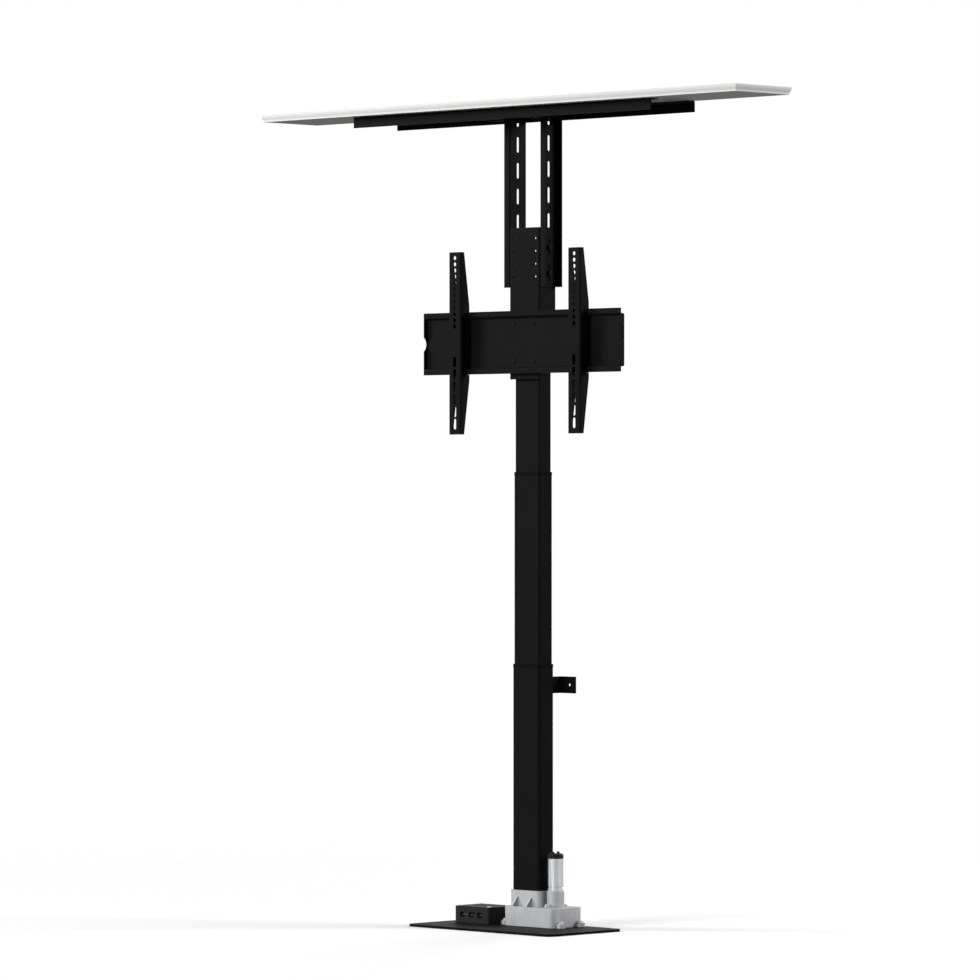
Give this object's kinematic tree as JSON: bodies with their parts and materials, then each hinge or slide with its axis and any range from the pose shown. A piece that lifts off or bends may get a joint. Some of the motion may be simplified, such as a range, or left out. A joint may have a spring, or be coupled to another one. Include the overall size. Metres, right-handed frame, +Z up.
{
  "type": "tv lift mechanism",
  "caption": "Floor-standing motorised screen lift: telescopic column on a base plate, crossbar with upright screen arms, and a slotted mast that carries a lid board on rails.",
  "frame": {"origin": "on the floor under the axis of the column", "axes": "+Z up, +X to the right seen from the screen's side, -Y towards the viewer, column raised"},
  "size_m": [1.59, 0.25, 1.9725],
  "materials": {
    "black_steel": "satin black powder coat",
    "black_bolts": "black zinc plating",
    "black_plastic": "fine-grained black plastic",
    "cast_alloy": "die-cast, matt",
    "steel": "bright zinc plating",
    "glide_plastic": "natural white acetal",
    "nut_plastic": "cream acetal",
    "lid_white": "white lacquered board"
  },
  "bodies": {
    "base": {"base_plate": "black_steel", "gearbox_housing": "cast_alloy", "gearbox_cover": "cast_alloy", "gearbox_bolts": "steel", "lower_bearing": "steel", "upper_bearing": "steel", "motor_gearhead": "cast_alloy", "motor_can": "steel", "motor_end_cap": "black_plastic", "motor_screws": "steel", "outer_tube": "black_steel", "outer_collar": "black_plastic", "tube_clamp_screws": "steel", "wall_bracket": "black_steel", "control_box": "black_plastic", "control_box_cover": "black_plastic", "control_box_screws": "steel", "control_sockets": "black_plastic"},
    "drive_spindle_body": {"drive_spindle": "steel", "spindle_gear": "nut_plastic"},
    "motor_pinion_body": {"motor_pinion": "steel"},
    "middle_stage": {"middle_tube": "black_steel", "middle_collar": "black_plastic", "middle_glide": "glide_plastic", "middle_nut": "nut_plastic", "middle_bearing": "steel"},
    "hollow_spindle_body": {"hollow_spindle": "steel"},
    "head": {"inner_tube": "black_steel", "inner_glide": "glide_plastic", "inner_nut": "nut_plastic", "head_cap": "cast_alloy", "head_cap_screws": "black_bolts", "head_bracket": "black_steel", "crossbar": "black_steel", "crossbar_bolts": "black_bolts", "mast_bolts": "steel", "mast_nuts": "steel"},
    "left_arm_body": {"left_arm": "black_steel", "left_arm_lock_screw": "black_bolts"},
    "right_arm_body": {"right_arm": "black_steel", "right_arm_lock_screw": "black_bolts"},
    "lid_carrier": {"left_mast_channel": "black_steel", "right_mast_channel": "black_steel", "left_lid_member": "black_steel", "right_lid_member": "black_steel", "front_lid_rail": "black_steel", "rear_lid_rail": "black_steel", "lid_member_screws": "steel", "mast_top_bolts": "steel", "lid_screws": "steel", "lid_panel": "lid_white"}
  },
  "joints": [
    {"name": "middle_lift", "type": "slide", "parent": "base", "child": "middle_stage", "axis": [0, 0, 1], "range_m": [-0.45, 0]},
    {"name": "inner_lift", "type": "slide", "parent": "middle_stage", "child": "head", "axis": [0, 0, 1], "range_m": [-0.45, 0]},
    {"name": "drive_spindle_turn", "type": "hinge", "parent": "base", "child": "drive_spindle_body", "pos_m": [0, 0, 0.03], "axis": [0, 0, 1], "range_deg": [-1, 10801]},
    {"name": "motor_pinion_turn", "type": "hinge", "parent": "base", "child": "motor_pinion_body", "pos_m": [0.075, 0, 0.03], "axis": [0, 0, 1], "range_deg": [-14125, 1]},
    {"name": "hollow_spindle_turn", "type": "hinge", "parent": "middle_stage", "child": "hollow_spindle_body", "pos_m": [0, 0, 0.53], "axis": [0, 0, 1], "range_deg": [-1, 10801]},
    {"name": "left_arm_slide", "type": "slide", "parent": "head", "child": "left_arm_body", "axis": [1, 0, 0], "range_m": [-0.1, 0.1]},
    {"name": "right_arm_slide", "type": "slide", "parent": "head", "child": "right_arm_body", "axis": [1, 0, 0], "range_m": [-0.1, 0.1]},
    {"name": "lid_height_adjust", "type": "slide", "parent": "head", "child": "lid_carrier", "axis": [0, 0, 1], "range_m": [-0.015, 0.015]}
  ],
  "couplings": [
    {"joint": "inner_lift", "follows": "middle_lift", "ratio": 1},
    {"joint": "drive_spindle_turn", "follows": "middle_lift", "rad_per_m": -418.88},
    {"joint": "hollow_spindle_turn", "follows": "middle_lift", "rad_per_m": -418.88},
    {"joint": "motor_pinion_turn", "follows": "middle_lift", "rad_per_m": 547.76}
  ]
}
